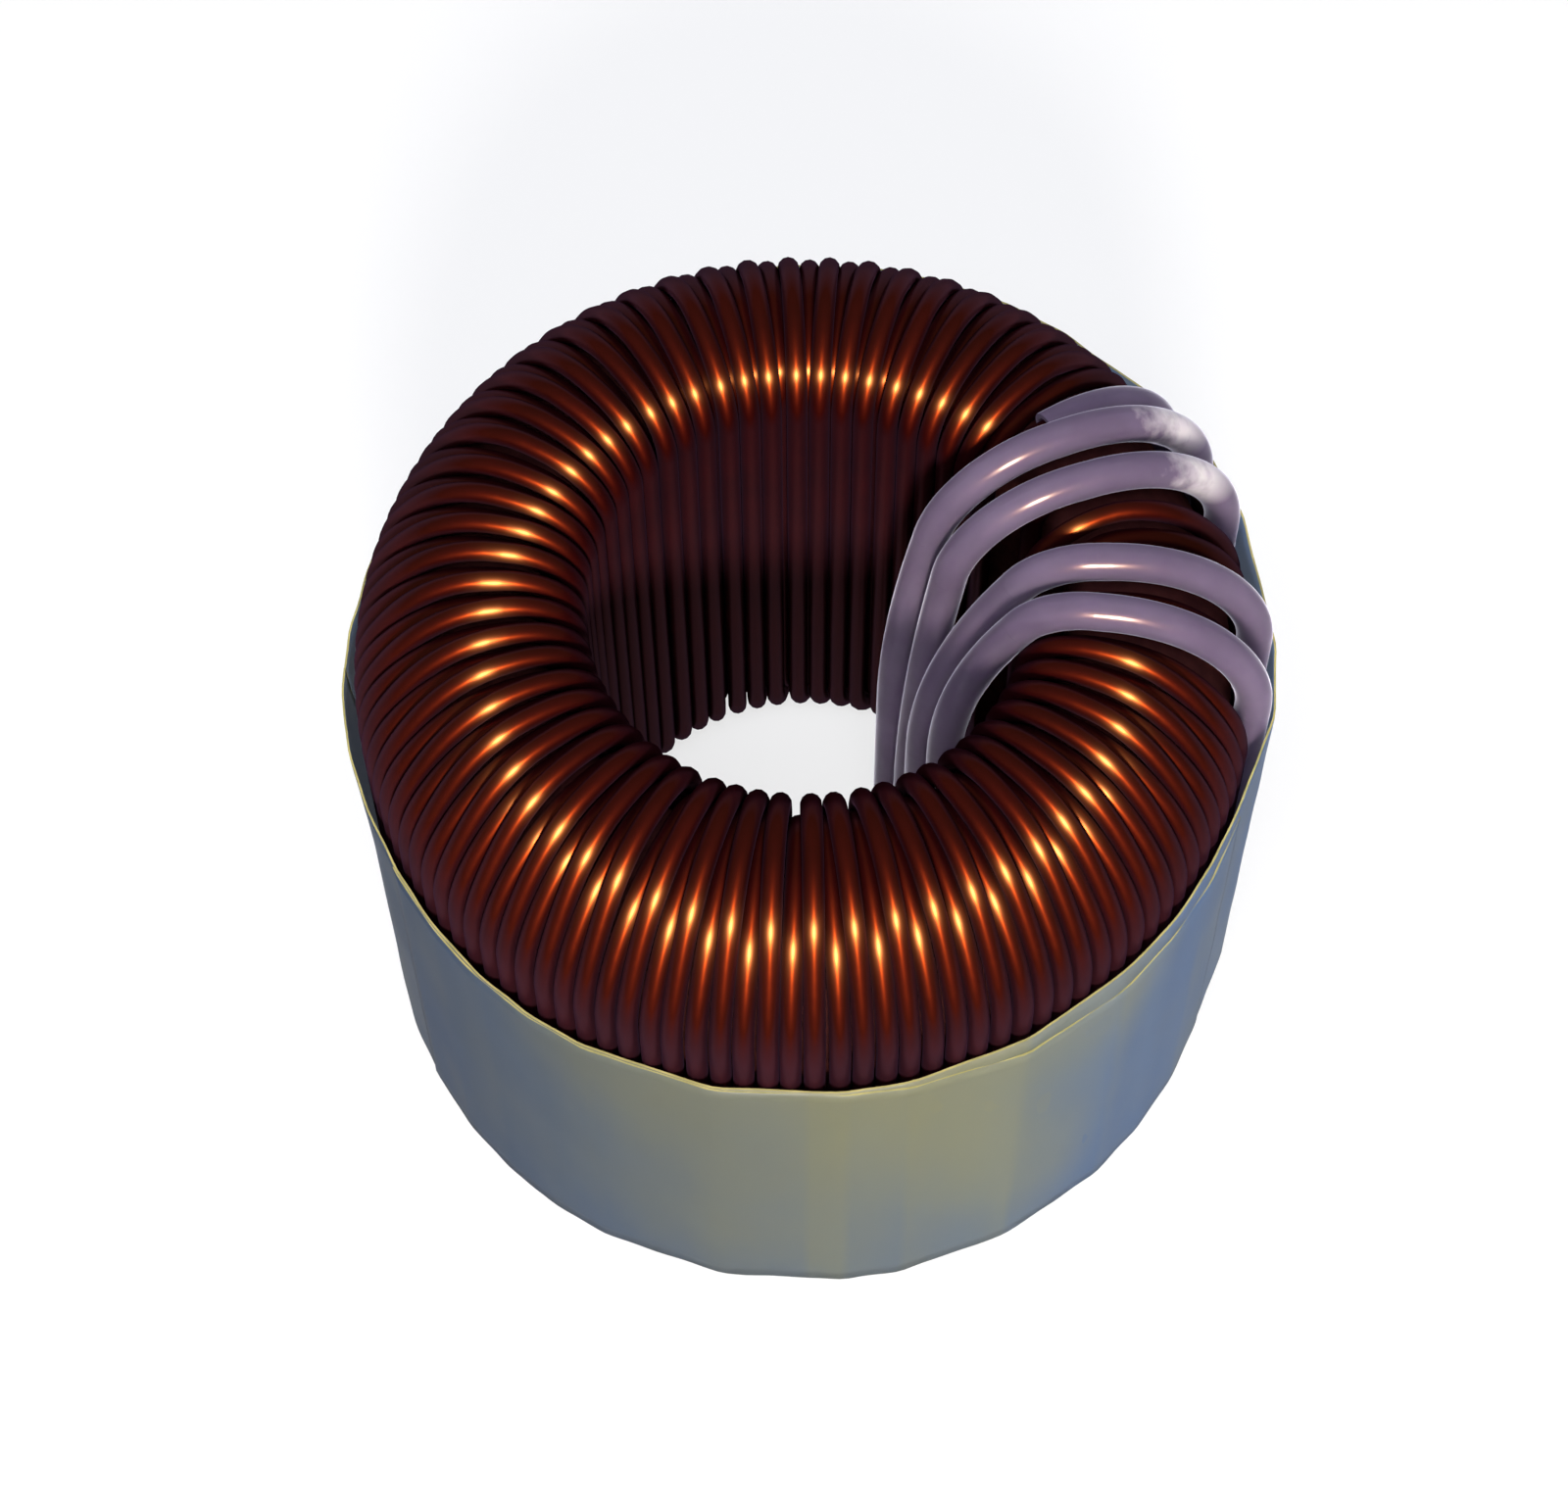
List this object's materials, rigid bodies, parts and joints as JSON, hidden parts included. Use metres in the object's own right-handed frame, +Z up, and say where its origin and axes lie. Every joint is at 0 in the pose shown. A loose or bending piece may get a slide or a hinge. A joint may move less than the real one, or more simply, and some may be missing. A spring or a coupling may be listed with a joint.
{
  "type": "toroidal inductor",
  "caption": "Ring core wound all round with enamelled copper wires, with sleeved leads lying over the ring into its hole and clear tape round its outside.",
  "frame": {"origin": "on the ring's axis, at the surface it stands on", "axes": "+Z up along the ring's axis; the leads cross the ring on the +X side"},
  "size_m": [0.0516, 0.0508, 0.0404],
  "materials": {
    "core": "matt coated powder",
    "enamelled_copper": "clear gloss enamel over copper",
    "sleeving": "milky translucent",
    "tape": "clear yellowish film"
  },
  "bodies": {
    "root": {"core": "core", "wire_a": "enamelled_copper", "wire_b": "enamelled_copper", "wire_c": "enamelled_copper", "sleeve_1": "sleeving", "sleeve_2": "sleeving", "sleeve_3": "sleeving", "sleeve_4": "sleeving", "sleeve_5": "sleeving", "outer_tape": "tape"}
  },
  "joints": []
}
